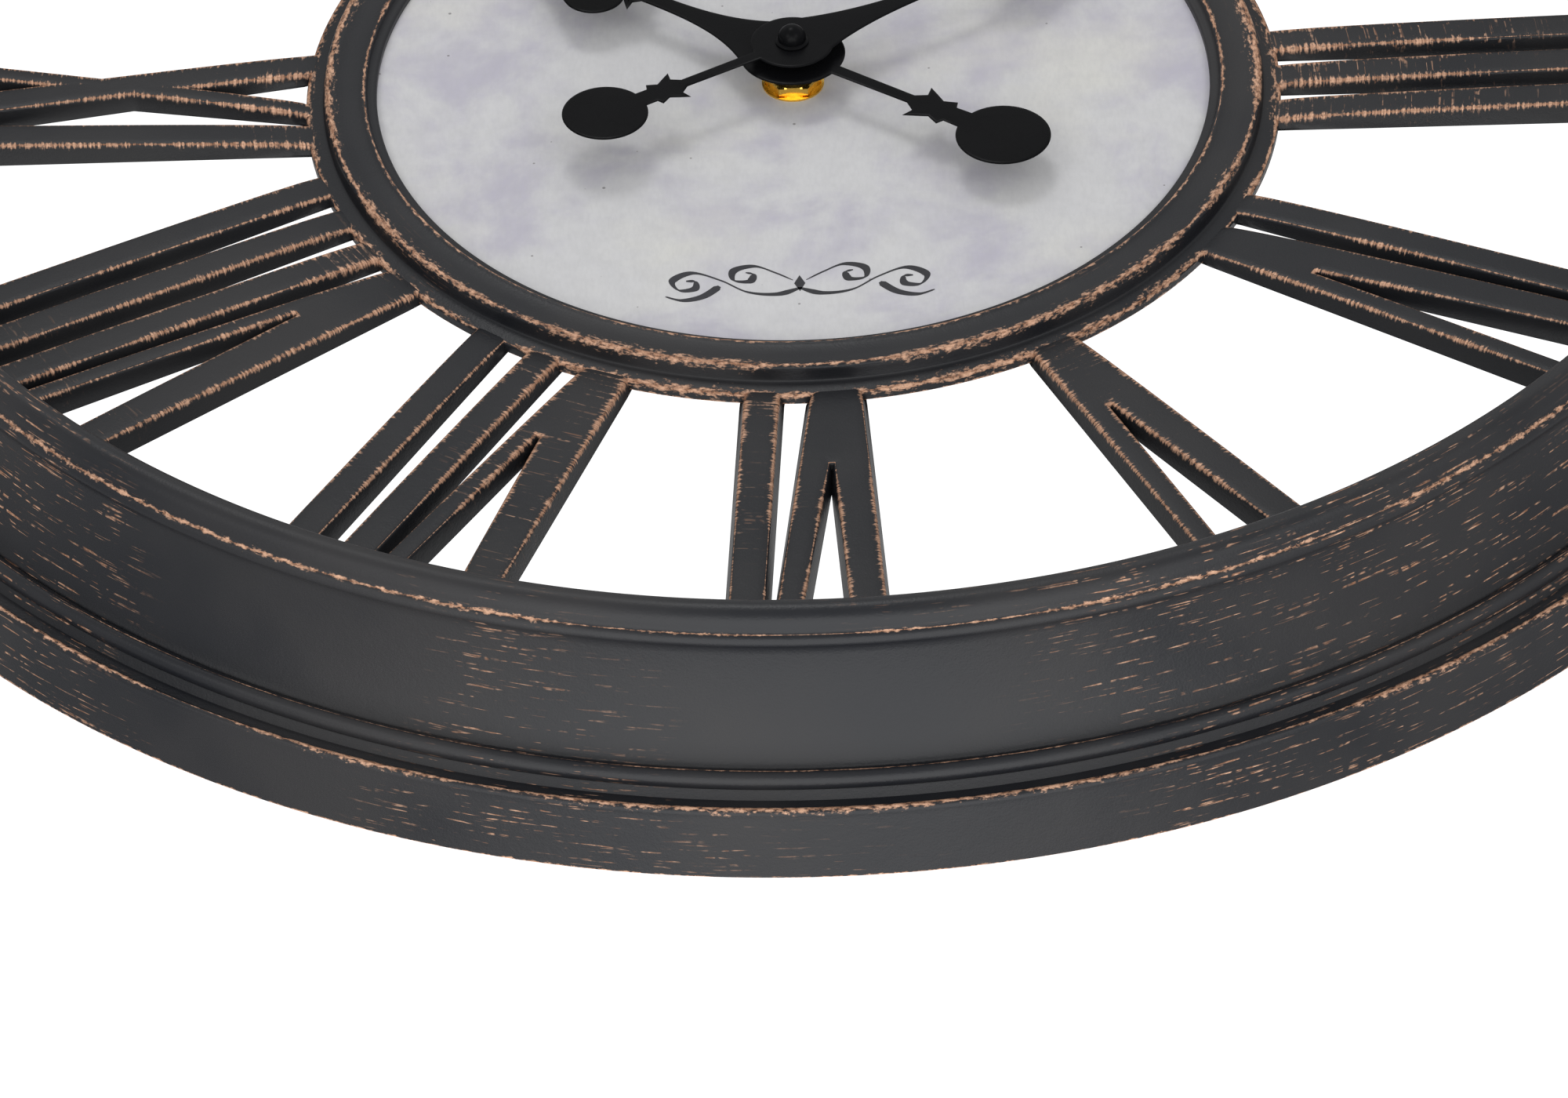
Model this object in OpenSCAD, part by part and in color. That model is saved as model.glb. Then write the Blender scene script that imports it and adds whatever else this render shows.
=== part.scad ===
// Skeleton wall clock: a deep moulded rim, raised Roman numerals as spokes, and a ring
// that holds the dial and a battery quartz movement.
// Row frame: +Z up, the front faces -Y, the wall is the plane y = 0, and the hand axis
// passes through the origin. Heights in this file are measured from the wall.

/* [Rim] */
// Outer radius of the rim at the wall
rim_r = 300; // [295:1:310]
// Wall thickness of the rim's skirt
rim_wall = 3.1; // [2.5:0.1:3.5]
// Number of stiffening ribs in the rim's hollow back
rib_count = 24; // [12:2:36]

/* [Ring] */
// Outer radius of the ring around the dial
ring_r = 134.6; // [134.4:0.2:137]
// Radius of the dial that shows inside the ring
dial_r = 115; // [113:0.5:115]

/* [Numerals] */
// Height of the numerals' back above the wall
bar_back = 16.5; // [16:0.25:17]
// Height of the numerals' face where they meet the ring
bar_face_in = 19.3; // [18.8:0.1:19.5]
// Height of the numerals' face where they meet the rim
bar_face_out = 23.5; // [22:0.5:24]
// Slope of the numerals' side walls, sideways per height
draft = 0.225; // [0.1:0.025:0.25]

/* [Hands] */
// Clock angle of the minute hand, clockwise from twelve
minute_angle = 60; // [0:1:359]
// Clock angle of the hour hand, clockwise from twelve
hour_angle = 305; // [0:1:359]
// Thickness of both hands
hand_t = 0.5; // [0.4:0.1:0.8]

/* [Hidden] */
$fn = 96;

char_black = "#26272b";
satin_black = "#141416";
brass_yellow = "#c9a23a";
white_plastic = "#dcd8cc";
black_plastic = "#1c1c1e";
steel_grey = "#a9acb0";

// Rim: its inner wall, and how far down that wall goes
inner_wall_r = rim_r - 35.5;
inner_wall_h = 8;

// Ring, dial and screws
sheet_top = 20.45;
plate_top = 20.2;
plate_back = 18.2;
plate_r = ring_r - 9.2;
sheet_r = ring_r - 15.5;
ring_skirt = 3;
dial_screw_r = ring_r - 7.1;
dial_washer_r = 3.7;
dial_screw_count = 6;
screw_r = 1.1;
pilot_r = 1.15;

// Hanger at twelve o'clock
hanger_y = rim_r - 19;
hanger_screw_x = 19;

// Movement, a square box behind the dial
box_half = 28;
box_back = 2;
box_front = 17.6;
box_wall = 1.2;
cover_t = 1.2;
bay_top = -11.8;
battery_y = -19.4;
battery_h = 9.6;
battery_r = 7.2;
bush_r = 4;
bush_top = 27.5;
pipe_r = 2.55;
arbor_r = 1.6;
running = 0.07;
hour_hand_h = 30.6;
minute_hand_h = 34.3;
nut_base = 21;

// Coil beside the train
coil_x = -20.5;
coil_h = 7.9;

// Wheel train: tooth modules, then arbor places. Two wheels in mesh stand apart by half
// the sum of their teeth times the module.
set_m = 25 / 48;
hour_m = 0.5;
centre_m = 0.31;
third_m = 0.28;
fourth_m = 0.25;
fifth_m = 0.2;
pivot_r = 0.35;
knob_arbor_r = 0.9;
minute_at = [12.5, 0];
knob_at = [12.5, 12.5];
third_at = centre_m * (64 + 8) / 2 * [cos(120), sin(120)];
fourth_at = third_at + third_m * (60 + 8) / 2 * [cos(60), sin(60)];
fifth_at = fourth_at + fourth_m * (60 + 10) / 2 * [cos(160), sin(160)];
rotor_at = fifth_at + fifth_m * (40 + 8) / 2 * [cos(200), sin(200)];

// Phase that puts a wheel in mesh: from is the driver's phase, at the bearing to the wheel
function mesh_phase(from, n_from, n_to, bearing) =
    bearing + 180 + 180 / n_to - (from - bearing) * n_from / n_to;
minute_phase = mesh_phase(0, 12, 36, 0);
hour_phase = mesh_phase(minute_phase, 10, 40, 180);
knob_phase = mesh_phase(minute_phase, 36, 12, 90);
third_phase = mesh_phase(0, 64, 8, 120);
fourth_phase = mesh_phase(third_phase, 60, 8, 60);
fifth_phase = mesh_phase(fourth_phase, 60, 10, 160);
rotor_phase = mesh_phase(fifth_phase, 40, 8, 200);

// Points along a Bezier curve, and along an arc
function bezier(a, b, c, d, steps) = [for (i = [0:steps]) let(t = i / steps, s = 1 - t)
    s*s*s*a + 3*s*s*t*b + 3*s*t*t*c + t*t*t*d];
function arc(c, r, from, to, steps) = [for (i = [0:steps]) let(a = from + (to - from) * i / steps)
    [c[0] + r * cos(a), c[1] + r * sin(a)]];

// Face height of the numerals at a radius: steep at the ring, flat at the rim
function face_h(r) = bar_face_in + (bar_face_out - bar_face_in)
    * pow(max(0, (r - ring_r) / (inner_wall_r - ring_r)), 0.6);

// A section given by distances in from an outer radius, and heights
function inset(r, points) = [for (p = points) [r - p[0], p[1]]];

// Turns the working plane so that x and y lie on the wall and z is the height from it
module facing() {
    rotate([90, 0, 0]) children();
}

module slab(r, low, high) {
    translate([0, 0, low]) cylinder(r = r, h = high - low);
}

module tube(outer, inner, low, high) {
    difference() {
        slab(outer, low, high);
        slab(inner, low - 1, high + 1);
    }
}

module post(at, r, low, high) {
    translate([at[0], at[1], low]) cylinder(r = r, h = high - low);
}

// ---- Rim, ring and numerals ----

// Rim section, as distances in from its outer radius: skirt, channel, thin bead, cove,
// small bead, rounded top bead and inner wall, then the hollow underside
rim_section = inset(rim_r, concat(
    [[0, 0], [3.4, 18.3], [4.6, 19], [5.6, 17.4], [9.8, 17]],
    arc([13.3, 20.9], 2.6, 228, -6, 9),
    bezier([16.4, 21.8], [20.4, 24], [25, 41], [26.4, 51.6], 7),
    arc([28.2, 54], 2.2, 212, 104, 4),
    arc([33, 56.6], 4.8, 172, -24, 9),
    [[36.9, 53.2], [35.8, 52], [35.5, 49], [35.5, inner_wall_h], [32.5, inner_wall_h], [32.5, 49]],
    bezier([30.8, 51], [29.6, 42], [24, 22.5], [18.5, 17.6], 7),
    [[16, 16.2], [10, 14], [6.6, 14.4], [rim_wall, 0]]));
rib_section = inset(rim_r, [[33.5, 10], [33.5, 44], [29.5, 37], [24.5, 25], [18.5, 18.6],
    [16, 17.2], [10, 15], [6, 15], [2.4, 3], [10, 3]]);

module outer_frame() {
    color(char_black) facing() {
        difference() {
            union() {
                rotate_extrude($fn = 180) polygon(rim_section);
                for (i = [0:rib_count - 1]) rotate([0, 0, (i + 0.5) * 360 / rib_count]) rim_rib();
                for (s = [-1, 1]) post([s * hanger_screw_x, hanger_y], 4, 2.2, 19);
            }
            for (s = [-1, 1]) post([s * hanger_screw_x, hanger_y], pilot_r, 0, 12);
        }
    }
}

module rim_rib() {
    rotate([90, 0, 0]) linear_extrude(1.8, center = true) polygon(rib_section);
}

// Ring section: a low flange level with the numerals, a step up to a wide shallow band,
// and a lip that steps down to the dial
module inner_ring() {
    section = concat(
        inset(ring_r, concat(
            [[0, bar_back], [0, 18.7], [0.6, 19.3], [4.3, 20], [4.9, 20.5], [5.2, 23.4]],
            arc([6.5, 23.4], 1.3, 170, 70, 4),
            [[8.4, 24.6], [11.6, 24.1], [14.8, 24.2], [15.9, 24.5], [16.6, 24.2], [17, 23.2],
             [17.9, 22.5]])),
        [[dial_r, 22.4], [dial_r, sheet_top], [sheet_r + 1, sheet_top], [sheet_r + 1, plate_top],
         [plate_r + 0.3, plate_top], [plate_r + 0.3, plate_back],
         [ring_r - ring_skirt, plate_back], [ring_r - ring_skirt, bar_back]]);
    color(char_black) facing() difference() {
        rotate_extrude($fn = 180) polygon(section);
        for (i = [0:dial_screw_count - 1]) rotate([0, 0, 30 + i * 360 / dial_screw_count])
            post([0, dial_screw_r], pilot_r, plate_back - 1, 23.5);
    }
}

// Radii at which the strokes start and end, just inside the ring and the rim's inner wall
stroke_from = ring_r - 1.5;
stroke_to = inner_wall_r + 1.5;

// One convex piece of a numeral, as [sideways place, radius, side]: the places are those of
// the face, and the walls spread towards the back on each point's own side
module leg(points) {
    hull() for (h = [bar_back - 1, bar_face_out + 2]) {
        grow = draft * (21.5 - h);
        translate([0, 0, h]) linear_extrude(0.01)
            polygon([for (p = points) [p[0] + p[2] * grow, p[1]]]);
    }
}

// A straight stroke, by its place and width at the ring and at the rim
module stroke(u_in, w_in, u_out, w_out) {
    leg([[u_in - w_in / 2, stroke_from, -1], [u_in + w_in / 2, stroke_from, 1],
        [u_out + w_out / 2, stroke_to, 1], [u_out - w_out / 2, stroke_to, -1]]);
}

// Widths of an upright bar, and of the thick and the thin stroke of a V or an X
bar_w = 9.4;
thick_w = 9.2;
thin_w = 5.8;

// A V: a thick left leg and a thin right one that share a foot and part at the crotch
crotch_r = ring_r + 30;
module vee(foot, left, right) {
    middle = foot + 2;
    leg([[foot - 2 - thick_w / 2, stroke_from, -1], [middle, stroke_from, 1],
        [middle, crotch_r, 1], [left + thick_w / 2, stroke_to, 1],
        [left - thick_w / 2, stroke_to, -1]]);
    leg([[middle, stroke_from, -1], [foot + 3.8 + thin_w / 2, stroke_from, 1],
        [right + thin_w / 2, stroke_to, 1], [right - thin_w / 2, stroke_to, -1],
        [middle, crotch_r, -1]]);
}

// Bars and crosses of each numeral: [place, width] at the ring, then [place, width] at the rim
function bar_at(u_in, u_out) = [u_in, bar_w, u_out, bar_w];
function cross(u, foot, head) = [[u + foot, thick_w, u - head, thick_w],
    [u - foot, thin_w, u + head, thin_w]];
strokes = [
    [bar_at(0, 0)],
    [bar_at(-7.9, -7.9), bar_at(7.9, 7.9)],
    [bar_at(-14.7, -14.3), bar_at(1, 1.4), bar_at(16.7, 17.1)],
    [bar_at(-10.2, -19)],
    [],
    [bar_at(10.9, 19)],
    [bar_at(1.8, 3), bar_at(18.8, 19)],
    [bar_at(-1.2, 0.4), bar_at(14.6, 16.2), bar_at(30.4, 32)],
    concat([bar_at(-16.3, -16.3)], cross(5.8, 10.2, 15)),
    cross(0, 10.2, 15),
    concat(cross(-7.6, 10.2, 15), [bar_at(14.8, 16.3)]),
    concat(cross(-14.6, 10.2, 15), [bar_at(6.8, 8.6), bar_at(22.6, 24.4)])];

// The V of four to eight: places of its foot, and of its left and right legs at the rim
vees = [[], [], [], [7.4, -7.4, 21], [0.3, -15.2, 16.2], [-8.8, -17, 10.8], [-16.6, -39, -6],
    [-18, -38, -10], [], [], [], []];

module numeral(hour) {
    steps = 4;
    section = concat([[ring_r, bar_back]],
        [for (i = [0:steps]) let(r = ring_r + (inner_wall_r - ring_r) * i / steps) [r, face_h(r)]],
        [[inner_wall_r, bar_back]]);
    color(char_black) facing() intersection() {
        rotate_extrude($fn = 180) polygon(section);
        rotate([0, 0, -30 * hour]) {
            for (s = strokes[hour - 1]) stroke(s[0], s[1], s[2], s[3]);
            v = vees[hour - 1];
            if (len(v) == 3) vee(v[0], v[1], v[2]);
        }
    }
}

// ---- Dial ----

module dial_plate() {
    color("#8c7a5e") facing() tube(plate_r, bush_r + 0.3, plate_back, plate_top);
}

module dial_sheet() {
    color("#cfd0d3") facing() tube(sheet_r, bush_r + 0.3, plate_top, sheet_top);
}

module dial_screws() {
    color(steel_grey) facing() for (i = [0:dial_screw_count - 1])
        rotate([0, 0, 30 + i * 360 / dial_screw_count]) translate([0, dial_screw_r, 0])
            difference() {
                union() {
                    slab(screw_r, plate_back - 0.2, 23.2);
                    slab(dial_washer_r, plate_back - 0.8, plate_back);
                    slab(2.6, plate_back - 2.2, plate_back - 0.8);
                }
                for (a = [0, 90]) rotate([0, 0, a])
                    translate([-1.6, -0.3, plate_back - 3]) cube([3.2, 0.6, 1.9]);
            }
}

// ---- Hanger ----

module hanger_plate() {
    color(steel_grey) facing() difference() {
        translate([-25, hanger_y - 9, 1]) cube([50, 18, 1.2]);
        for (s = [-1, 1]) post([s * hanger_screw_x, hanger_y], 1.7, 0, 3);
        post([0, hanger_y - 3.2], 4.2, 0, 3);
        translate([-2.1, hanger_y - 3.2, 0]) cube([4.2, 7.4, 3]);
        post([0, hanger_y + 4.2], 2.1, 0, 3);
    }
}

module hanger_screws() {
    color(steel_grey) facing() for (s = [-1, 1]) translate([s * hanger_screw_x, hanger_y, 0])
        difference() {
            union() {
                slab(screw_r, 0.5, 11);
                slab(3, 0.1, 1);
            }
            for (a = [0, 90]) rotate([0, 0, a])
                translate([-1.6, -0.35, -0.5]) cube([3.2, 0.7, 1.1]);
        }
}

// ---- Movement box ----

module movement_case() {
    inner = box_half - box_wall;
    color(black_plastic) facing() difference() {
        union() {
            difference() {
                translate([-box_half, -box_half, box_back + cover_t])
                    cube([2 * box_half, 2 * box_half, box_front - box_back - cover_t]);
                translate([-inner, bay_top + 0.8, 0])
                    cube([2 * inner, inner - bay_top - 0.8, box_front - box_wall]);
                translate([-inner, -inner, 0]) cube([2 * inner, bay_top + inner, 16.9]);
            }
            slab(bush_r, box_front - 0.1, bush_top);
        }
        slab(pipe_r + running, box_back, bush_top + 1);
        for (at = [minute_at, knob_at, third_at, fourth_at, fifth_at, rotor_at])
            post(at, pivot_r + 0.05, box_front - box_wall - 1, box_front - 0.5);
    }
}

module movement_cover() {
    color(white_plastic) facing() difference() {
        translate([-box_half, bay_top, box_back]) cube([2 * box_half, box_half - bay_top, cover_t]);
        for (at = [[0, 0], minute_at, third_at, fourth_at, fifth_at, rotor_at])
            post(at, pivot_r + 0.05, box_back + 0.5, box_back + cover_t + 1);
        post(knob_at, knob_arbor_r + 0.05, 0, 5);
    }
}

module circuit_board() {
    color("#2f5b3a") facing() {
        translate([-26.4, -10.4, 12.4]) cube([15.2, 24.4, 0.8]);
        post([-16, 8], 2.2, 13.2, 14.2);
    }
}

module quartz_crystal() {
    color(steel_grey) facing() translate([-22, 0, 14.75]) rotate([-90, 0, 0]) cylinder(r = 1.5, h = 8);
}

// Coil on its bobbin, with a slot for the leg of the core
module coil() {
    color("#a5562b") facing() translate([coil_x, 0, coil_h]) difference() {
        union() {
            translate([0, -7, 0]) rotate([-90, 0, 0]) cylinder(r = 2.9, h = 16);
            for (y = [-8, 9]) translate([-3.6, y, -3.6]) cube([7.2, 1, 7.2]);
        }
        translate([-1.6, -9, -0.6]) cube([3.2, 20, 1.2]);
    }
}

module stator() {
    color("#7d8288") facing() difference() {
        union() {
            translate([0, 0, coil_h - 0.5]) linear_extrude(1) {
                translate(rotor_at) circle(r = 4);
                polygon([[-26, 12], [coil_x + 2, 12], [rotor_at[0], 15.6], [rotor_at[0], 22],
                         [-26, 22]]);
                translate([-15.4, -10.4]) square([2, 27]);
                translate([-26, -10.4]) square([12, 1.8]);
                translate([coil_x - 1.5, -10]) square([3, 23]);
            }
        }
        post(rotor_at, 3.1, coil_h - 2, coil_h + 2);
    }
}

module contact_positive() {
    color(brass_yellow) facing() translate([25.9, battery_y - 5, 4]) cube([0.5, 10, 11]);
}

module contact_negative() {
    color(brass_yellow) facing() translate([0, battery_y + 4, 0]) rotate([90, 0, 0])
        linear_extrude(8) polygon([[-26.6, 4], [-26.1, 4], [-25.2, 9], [-26.1, 14], [-26.6, 14],
                                   [-25.7, 9]]);
}

module battery() {
    color("#3b5b3f") facing() translate([-25.1, battery_y, battery_h]) rotate([0, 90, 0]) {
        cylinder(r = battery_r, h = 49);
        translate([0, 0, 49]) cylinder(r = 2.7, h = 1.6);
    }
}

// ---- Clamp ----

module rubber_washer() {
    color("#151515") facing() tube(13, bush_r + 0.1, box_front, plate_back);
}

module brass_washer() {
    color(brass_yellow) facing() tube(8.6, bush_r + 0.2, sheet_top, nut_base);
}

module mounting_nut() {
    color(brass_yellow) facing() difference() {
        translate([0, 0, nut_base]) cylinder(r = 8, h = 2.9, $fn = 6);
        slab(bush_r, nut_base - 1, nut_base + 4);
    }
}

// ---- Wheels ----

// Teeth with sloping flanks: four points for each tooth
module toothed(m, n, phase, low, high) {
    root = m * (n / 2 - 1.2);
    tip = m * (n / 2 + 0.75);
    pitch = 360 / n;
    translate([0, 0, low]) linear_extrude(high - low) polygon([for (i = [0:n - 1], p = [
        [root, -0.3], [tip, -0.1], [tip, 0.1], [root, 0.3]])
        let(a = phase + (i + p[1]) * pitch) [p[0] * cos(a), p[0] * sin(a)]]);
}

// An arbor between the two plates, thinner at its pivots
module arbor(r) {
    slab(r, box_back + cover_t + 0.1, box_front - box_wall - 0.1);
    slab(pivot_r, box_back + 0.7, box_front - 0.7);
}

module cannon_pinion() {
    color(brass_yellow) facing() {
        slab(pivot_r, box_back + 0.7, 4);
        slab(1.25, box_back + cover_t + 0.1, 11.5);
        toothed(set_m, 12, 0, 11.2, 12.8);
        slab(arbor_r, 12.7, minute_hand_h);
        slab(1.3, minute_hand_h - 0.1, 36.5);
    }
}

module hour_wheel() {
    color(white_plastic) facing() difference() {
        union() {
            toothed(hour_m, 40, hour_phase, 13.6, 14.8);
            slab(pipe_r, 13.6, hour_hand_h);
            slab(2.3, hour_hand_h - 0.1, hour_hand_h + 0.9);
        }
        slab(arbor_r + running, 13, 33);
    }
}

module minute_wheel() {
    color(white_plastic) facing() translate(minute_at) {
        toothed(set_m, 36, minute_phase, 11.5, 12.5);
        toothed(hour_m, 10, minute_phase, 12.4, 15.2);
        arbor(0.8);
    }
}

module set_knob() {
    color(white_plastic) facing() translate(knob_at) {
        toothed(set_m, 12, knob_phase, 11.2, 12.8);
        slab(knob_arbor_r, 1.5, 12);
        slab(pivot_r, 12, box_front - 0.7);
        translate([0, 0, 0.4]) linear_extrude(1.4) difference() {
            circle(r = 6);
            for (i = [0:17]) rotate(20 * i) translate([6.3, 0]) circle(r = 0.6, $fn = 16);
        }
    }
}

module centre_wheel() {
    color(white_plastic) facing() difference() {
        union() {
            toothed(centre_m, 64, 0, 9.6, 10.4);
            slab(2.4, 9.2, 10.9);
        }
        slab(1.3, 9, 11);
    }
}

module third_wheel() {
    color(white_plastic) facing() translate(third_at) {
        toothed(centre_m, 8, third_phase, 9.2, 10.8);
        toothed(third_m, 60, third_phase, 4.3, 5.1);
        arbor(0.45);
    }
}

module fourth_wheel() {
    color(white_plastic) facing() translate(fourth_at) {
        toothed(third_m, 8, fourth_phase, 3.9, 5.4);
        toothed(fourth_m, 60, fourth_phase, 5.8, 6.6);
        arbor(0.5);
    }
}

module fifth_wheel() {
    color(white_plastic) facing() translate(fifth_at) {
        toothed(fourth_m, 10, fifth_phase, 5.5, 6.9);
        toothed(fifth_m, 40, fifth_phase, 9.6, 10.4);
        arbor(0.5);
    }
}

module rotor() {
    color(steel_grey) facing() translate(rotor_at) {
        slab(2.6, 6.9, 8.9);
        toothed(fifth_m, 8, rotor_phase, 9.2, 10.8);
        arbor(0.5);
    }
}

// ---- Hands ----

// Right side of a barbed collar on a stem of half-width stem, upwards from its base at y
function collar(w, stem, y, size) = [[stem, y - size * 0.2], [w * 0.36, y + size * 0.1],
    [w * 0.66, y], [w * 0.5, y + size * 0.34], [w * 0.36, y + size * 0.62]];

// The same points turned upside down, for the tail
function turned(points) = [for (i = [len(points) - 1:-1:0]) [points[i][0], -points[i][1]]];

// Right side of each hand from its tail disc to its point: disc, collar, stem, hub, blade,
// collar, and a spade leaf with a round lobe
minute_side = concat(
    arc([0, -59.5], 11.8, -88, 75, 14),
    [[3, -44.6], [4.8, -43.8]],
    turned(collar(9.5, 1.7, 36, 8)),
    arc([0, 0], 11.5, -81, 45, 12),
    bezier([8.1, 8.2], [2.4, 24], [1.8, 41], [1.8, 61], 8),
    collar(9, 1.8, 63, 6),
    arc([3.9, 72.3], 4.8, -88, 25, 8),
    bezier([8.2, 74.6], [5.8, 79.5], [1.4, 91], [0.5, 105], 8));
hour_side = concat(
    arc([0, -69], 13, -88, 74, 14),
    [[3.4, -51.8], [5.5, -50.8]],
    turned(collar(11, 1.9, 41, 10)),
    arc([0, 0], 14.6, -82, 37, 12),
    bezier([11.5, 9], [3.5, 20.2], [2.5, 33.4], [2.5, 48], 8),
    collar(12, 2.5, 50, 6),
    arc([7.1, 61.7], 8.6, -104, 26, 10),
    bezier([14.7, 65.7], [10.3, 74.6], [2.6, 77.6], [0.5, 92], 8));

module hand(side, angle, base, bore) {
    color(satin_black) facing() rotate([0, 0, -angle]) difference() {
        translate([0, 0, base]) linear_extrude(hand_t)
            polygon(concat(side, [for (i = [len(side) - 1:-1:0]) [-side[i][0], side[i][1]]]));
        slab(bore, base - 1, base + hand_t + 1);
    }
}

module minute_hand() {
    hand(minute_side, minute_angle, minute_hand_h, 1.3);
}

module hour_hand() {
    hand(hour_side, hour_angle, hour_hand_h, 2.3);
}

module cap_nut() {
    color(satin_black) facing() difference() {
        union() {
            slab(4.6, minute_hand_h + hand_t, minute_hand_h + hand_t + 0.8);
            slab(3.9, minute_hand_h + hand_t, 36.2);
            translate([0, 0, 36]) sphere(r = 3.9);
        }
        slab(5, 30, minute_hand_h + hand_t);
        slab(1.3, minute_hand_h, 36.6);
    }
}

outer_frame();
inner_ring();
for (hour = [1:12]) numeral(hour);
dial_plate();
dial_sheet();
dial_screws();
hanger_plate();
hanger_screws();
movement_case();
movement_cover();
circuit_board();
quartz_crystal();
coil();
stator();
contact_positive();
contact_negative();
battery();
rubber_washer();
brass_washer();
mounting_nut();
cannon_pinion();
minute_hand();
cap_nut();
hour_wheel();
hour_hand();
minute_wheel();
set_knob();
centre_wheel();
third_wheel();
fourth_wheel();
fifth_wheel();
rotor();
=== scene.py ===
# Wall clock: moulded rim, cast Roman numerals, printed dial and spade hands.
# Plan sizes are in millimetres on the wall: x to the right, up towards twelve, and the
# height out from the wall. place() turns them into the frame's metres.
import math
import bpy
import bmesh
from mathutils import Matrix, Vector
from mathutils.geometry import tessellate_polygon


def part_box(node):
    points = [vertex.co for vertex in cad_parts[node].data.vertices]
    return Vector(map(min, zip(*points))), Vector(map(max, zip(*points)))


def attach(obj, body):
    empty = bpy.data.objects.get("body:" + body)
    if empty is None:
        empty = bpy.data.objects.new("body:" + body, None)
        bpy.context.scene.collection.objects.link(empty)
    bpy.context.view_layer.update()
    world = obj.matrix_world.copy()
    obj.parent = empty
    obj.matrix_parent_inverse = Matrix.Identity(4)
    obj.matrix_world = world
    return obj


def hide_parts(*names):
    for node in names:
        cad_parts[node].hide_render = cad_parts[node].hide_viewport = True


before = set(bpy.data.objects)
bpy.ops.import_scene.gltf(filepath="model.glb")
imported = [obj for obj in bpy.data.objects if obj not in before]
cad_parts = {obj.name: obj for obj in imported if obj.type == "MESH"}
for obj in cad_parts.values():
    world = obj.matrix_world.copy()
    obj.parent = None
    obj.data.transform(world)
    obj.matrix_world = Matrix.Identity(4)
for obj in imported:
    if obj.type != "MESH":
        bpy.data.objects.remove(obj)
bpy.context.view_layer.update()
mm = 0.001
print("frame loaded")


def place(x, up, height):
    return (x * mm, -height * mm, up * mm)


def boxSpan(node):              # how far a node reaches, in plan millimetres
    low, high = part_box(node)
    return {"out": high.x / mm, "back": -high.y / mm, "front": -low.y / mm}


def arcPoints(centre, radius, start, end, steps):
    turns = [math.radians(start + (end - start) * i / steps) for i in range(steps + 1)]
    return [(centre[0] + radius * math.cos(a), centre[1] + radius * math.sin(a)) for a in turns]


def curvePoints(a, b, c, d, steps):
    points = []
    for i in range(steps + 1):
        t = i / steps
        s = 1 - t
        weights = (s * s * s, 3 * s * s * t, 3 * s * t * t, t * t * t)
        points.append(tuple(sum(w * p[k] for w, p in zip(weights, (a, b, c, d))) for k in (0, 1)))
    return points


def spaced(section, step):      # adds points so that no side of the closed section is longer
    points = []
    for i, start in enumerate(section):
        end = section[(i + 1) % len(section)]
        parts = max(1, math.ceil(math.dist(start, end) / step))
        for k in range(parts):
            t = k / parts
            points.append((start[0] + (end[0] - start[0]) * t, start[1] + (end[1] - start[1]) * t))
    return points


def meshPiece(name, vertices, faces, extras=None):
    mesh = bpy.data.meshes.new(name)
    mesh.from_pydata(vertices, [], faces)
    for label, values in (extras or {}).items():
        mesh.attributes.new(label, "FLOAT", "POINT").data.foreach_set("value", values)
    piece = bpy.data.objects.new(name, mesh)
    bpy.context.scene.collection.objects.link(piece)
    return piece


def tidyMesh(piece, sharpAngle=38, merge=0.000002):
    work = bmesh.new()
    work.from_mesh(piece.data)
    if merge:
        bmesh.ops.remove_doubles(work, verts=work.verts, dist=merge)
    bmesh.ops.recalc_face_normals(work, faces=work.faces)
    work.to_mesh(piece.data)
    work.free()
    piece.data.shade_smooth()
    piece.data.set_sharp_from_angle(angle=math.radians(sharpAngle))


def settle(piece, body, material, stands=()):
    if material and not piece.data.materials:
        piece.data.materials.append(material)
    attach(piece, body)
    if stands:
        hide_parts(*stands)
    return piece


def turnedPiece(name, section, steps, arrises=()):
    # Spins a closed section of (radius, height) round the hand axis. "across" is the length
    # along the section and "gap" the distance from the nearest rubbed arris, in millimetres.
    lengths = [0.0]
    for a, b in zip(section, section[1:]):
        lengths.append(lengths[-1] + math.dist(a, b))
    total = lengths[-1] + math.dist(section[-1], section[0])
    marks = []
    for radius, height, strength in arrises:
        nearest = min(range(len(section)), key=lambda i: math.dist(section[i], (radius, height)))
        marks.append((lengths[nearest], strength))
    gaps = []
    for s in lengths:
        away = [min(abs(s - m), total - abs(s - m)) / strength for m, strength in marks]
        gaps.append(min(away + [30.0]))
    count = len(section)
    vertices = []
    for i in range(steps):
        turn = 2 * math.pi * i / steps
        for radius, height in section:
            vertices.append(place(radius * math.sin(turn), radius * math.cos(turn), height))
    faces = []
    for i in range(steps):
        j = (i + 1) % steps
        for k in range(count):
            n = (k + 1) % count
            faces.append((i * count + k, i * count + n, j * count + n, j * count + k))
    piece = meshPiece(name, vertices, faces, {"across": lengths * steps, "gap": gaps * steps})
    return piece


def addNode(tree, kind, **settings):
    node = tree.nodes.new(kind)
    for label, value in settings.items():
        setattr(node, label, value)
    return node


def feed(tree, socket, value):
    if value is None:
        return
    if isinstance(value, bpy.types.NodeSocket):
        tree.links.new(value, socket)
    else:
        socket.default_value = value


def calc(tree, operation, first, second=None, third=None, clamp=False):
    node = addNode(tree, "ShaderNodeMath", operation=operation, use_clamp=clamp)
    for socket, value in zip(node.inputs, (first, second, third)):
        feed(tree, socket, value)
    return node.outputs[0]


def fade(tree, value, low, high, toLow=0.0, toHigh=1.0, soft=True):
    node = addNode(tree, "ShaderNodeMapRange", interpolation_type="SMOOTHSTEP" if soft else "LINEAR")
    for socket, amount in zip(node.inputs, (value, low, high, toLow, toHigh)):
        feed(tree, socket, amount)
    return node.outputs[0]


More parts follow.
